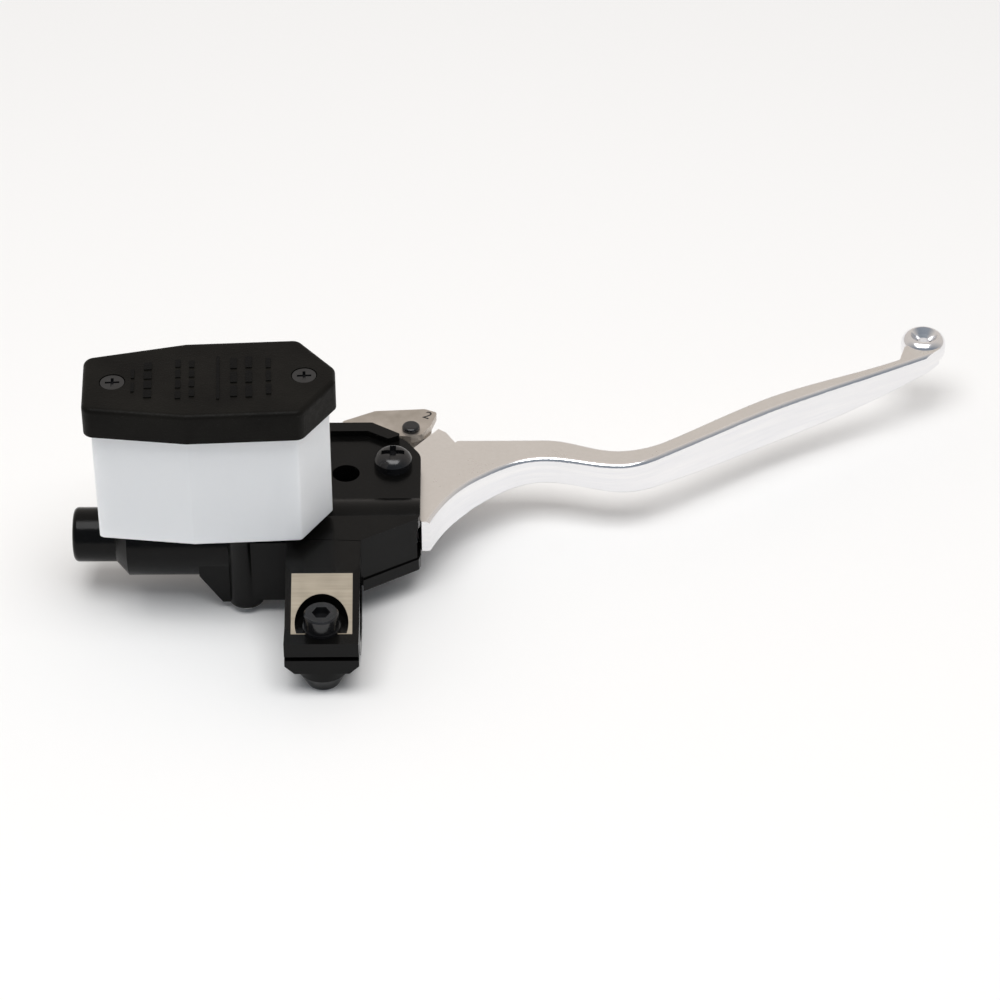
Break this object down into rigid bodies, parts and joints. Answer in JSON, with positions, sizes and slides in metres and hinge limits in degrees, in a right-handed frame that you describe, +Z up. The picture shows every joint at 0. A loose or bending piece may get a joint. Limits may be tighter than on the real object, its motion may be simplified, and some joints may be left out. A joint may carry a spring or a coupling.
{
  "type": "brake master cylinder",
  "caption": "Handlebar brake master cylinder: coffin-shaped reservoir, black barrel and clamp, dog-leg alloy lever with reach adjuster.",
  "frame": {"origin": "centre of the 22 mm handlebar clamp bore, midway along the clamp", "axes": "+X along the handlebar towards the lever's tip, +Y forwards on the motorcycle, +Z up"},
  "size_m": [0.2874, 0.1591, 0.0864],
  "materials": {
    "black_paint": "semi-gloss black paint on cast aluminium",
    "black_plastic": "fine-grained matt black moulding",
    "white_plastic": "translucent white moulding, satin",
    "black_steel": "black oxide steel",
    "zinc_steel": "zinc-plated steel",
    "black_rubber": "matt rubber",
    "machined_aluminium": "machined",
    "cast_aluminium": "tumbled cast aluminium",
    "polished_aluminium": "polished, with a satin grain",
    "bronze": "sintered bronze"
  },
  "bodies": {
    "root": {"cylinder_body": "black_paint", "clamp_cap": "black_paint", "clamp_washers": "black_steel", "clamp_bolt_near": "black_steel", "clamp_bolt_far": "black_steel", "pivot_bolt": "black_steel", "pivot_washer": "zinc_steel", "pivot_nut": "zinc_steel", "stop_washer": "zinc_steel", "circlip": "zinc_steel", "dust_boot": "black_rubber", "reservoir": "white_plastic", "diaphragm": "black_rubber", "diaphragm_plate": "black_plastic", "reservoir_cap": "black_plastic", "cap_screws": "black_steel", "reservoir_grommet": "black_rubber", "reservoir_screw": "zinc_steel"},
    "piston_set": {"piston": "machined_aluminium", "primary_cup": "black_rubber", "secondary_cup": "black_rubber", "spring_seat": "zinc_steel", "return_spring": "zinc_steel"},
    "pusher": {"lever_pusher": "machined_aluminium", "pusher_bush": "bronze"},
    "lever": {"lever_blade": "polished_aluminium", "cam_pin": "black_steel", "cam_washer": "zinc_steel"},
    "cam": {"reach_cam": "cast_aluminium"}
  },
  "joints": [
    {"name": "lever_pull", "type": "hinge", "parent": "root", "child": "pusher", "pos_m": [0.0211, 0.0523, 0.0057], "axis": [0, 0, -1], "range_deg": [0, 20], "stiffness_Nm_per_rad": 1.5, "springref_deg": -34.38},
    {"name": "piston_slide", "type": "slide", "parent": "root", "child": "piston_set", "axis": [-1, 0, 0], "range_m": [0, 0.008], "deforming": ["return_spring"]},
    {"name": "lever_reach", "type": "hinge", "parent": "pusher", "child": "lever", "pos_m": [0.0211, 0.0523, 0.0057], "axis": [0, 0, 1], "range_deg": [0, 3.5]},
    {"name": "cam_turn", "type": "hinge", "parent": "lever", "child": "cam", "pos_m": [0.0265, 0.0771, 0.0057], "axis": [0, 0, 1], "range_deg": [-28.5, 0]}
  ],
  "couplings": [
    {"joint": "piston_slide", "follows": "lever_pull", "m_per_rad": 0.0223},
    {"joint": "cam_turn", "follows": "lever_reach", "ratio": -8}
  ]
}
